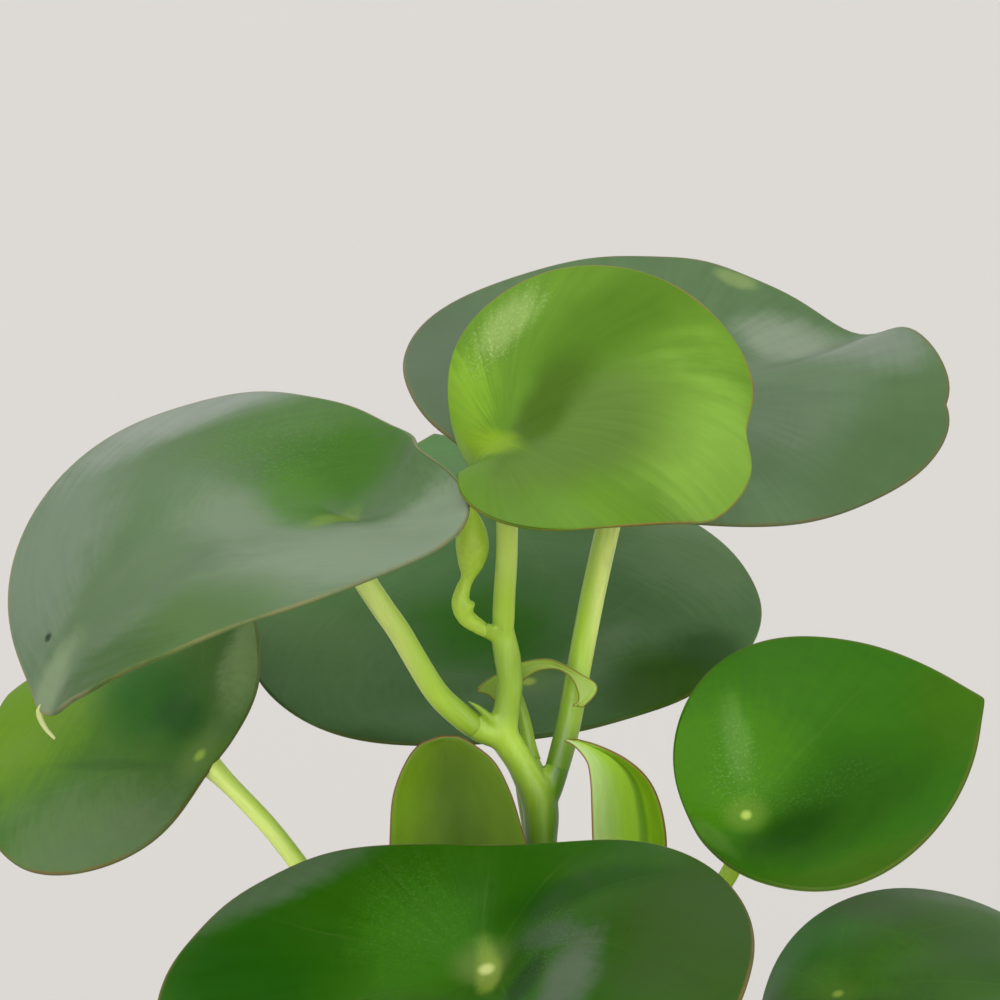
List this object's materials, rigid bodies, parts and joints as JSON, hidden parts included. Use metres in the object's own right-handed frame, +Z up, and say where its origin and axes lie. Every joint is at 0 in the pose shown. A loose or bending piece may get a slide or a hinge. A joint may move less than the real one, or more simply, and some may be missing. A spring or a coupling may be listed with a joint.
{
  "type": "potted house plant",
  "caption": "Raindrop peperomia in a plain round pot: glossy drop-shaped leaves, each held near its centre on a slim stalk from one upright stem.",
  "frame": {"origin": "centre of the pot's flat base, on the surface it stands on", "axes": "+Z up along the stem, -Y towards the front of the plant, +X to the right seen from the front"},
  "size_m": [0.2142, 0.2277, 0.2687],
  "materials": {
    "leaf": "glossy deep green leaf, waxy sheen",
    "young_leaf": "satin yellow-green young leaf, slightly translucent",
    "stalk": "smooth light green juicy stalk",
    "stem": "smooth mid green stem",
    "soil": "rough dark potting soil",
    "pot": "plain satin off-white ceramic"
  },
  "bodies": {
    "root": {"leaf_01_blade": "leaf", "leaf_01_stalk": "stalk", "leaf_02_blade": "leaf", "leaf_02_stalk": "stalk", "leaf_03_blade": "young_leaf", "leaf_03_stalk": "stalk", "leaf_04_blade": "leaf", "leaf_04_stalk": "stalk", "leaf_05_blade": "leaf", "leaf_05_stalk": "stalk", "leaf_06_blade": "leaf", "leaf_06_stalk": "stalk", "leaf_07_blade": "leaf", "leaf_07_stalk": "stalk", "leaf_08_blade": "leaf", "leaf_08_stalk": "stalk", "leaf_09_blade": "young_leaf", "leaf_09_stalk": "stalk", "leaf_10_blade": "young_leaf", "leaf_10_stalk": "stalk", "leaf_11": "young_leaf", "leaf_12": "young_leaf", "leaf_13_blade": "leaf", "leaf_13_stalk": "stalk", "leaf_14_blade": "leaf", "leaf_14_stalk": "stalk", "leaf_15_blade": "leaf", "leaf_15_stalk": "stalk", "leaf_16_blade": "leaf", "leaf_16_stalk": "stalk", "leaf_17_blade": "leaf", "leaf_17_stalk": "stalk", "leaf_18_blade": "leaf", "leaf_18_stalk": "stalk", "leaf_19_blade": "leaf", "leaf_19_stalk": "stalk", "pot": "pot", "soil": "soil", "stem": "stem"}
  },
  "joints": []
}
